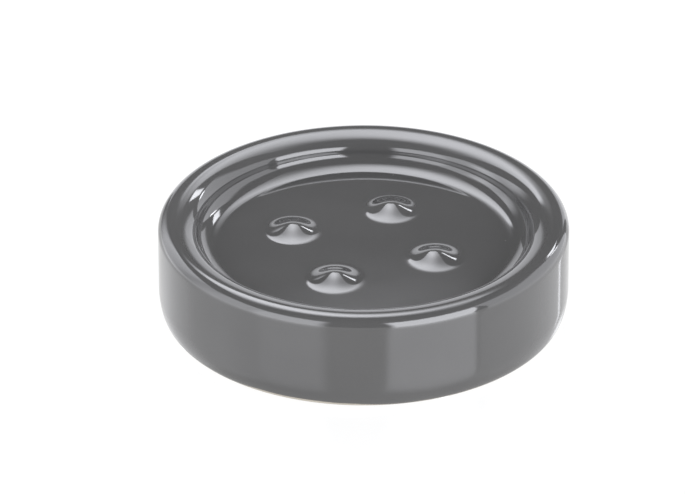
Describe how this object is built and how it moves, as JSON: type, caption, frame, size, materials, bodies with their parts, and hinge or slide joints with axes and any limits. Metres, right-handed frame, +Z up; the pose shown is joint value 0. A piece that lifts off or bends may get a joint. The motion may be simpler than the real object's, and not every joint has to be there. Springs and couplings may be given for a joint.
{
  "type": "soap dish",
  "caption": "Round grey glazed ceramic soap dish: shallow bowl with raised nubs, thick rolled rim, unglazed foot ring and anti-slip pads.",
  "frame": {"origin": "centre of the dish, on the surface that it stands on", "axes": "+Z up through the middle of the bowl; the nubs lie on the X and Y axes and the pads lie between them"},
  "size_m": [0.1148, 0.1148, 0.0286],
  "materials": {
    "grey_glaze": "glossy mid-grey glaze, unglazed cream foot",
    "pad_silicone": "milky translucent silicone, satin"
  },
  "bodies": {
    "root": {"dish_body": "grey_glaze", "antislip_pad_1": "pad_silicone", "antislip_pad_2": "pad_silicone", "antislip_pad_3": "pad_silicone", "antislip_pad_4": "pad_silicone"}
  },
  "joints": []
}
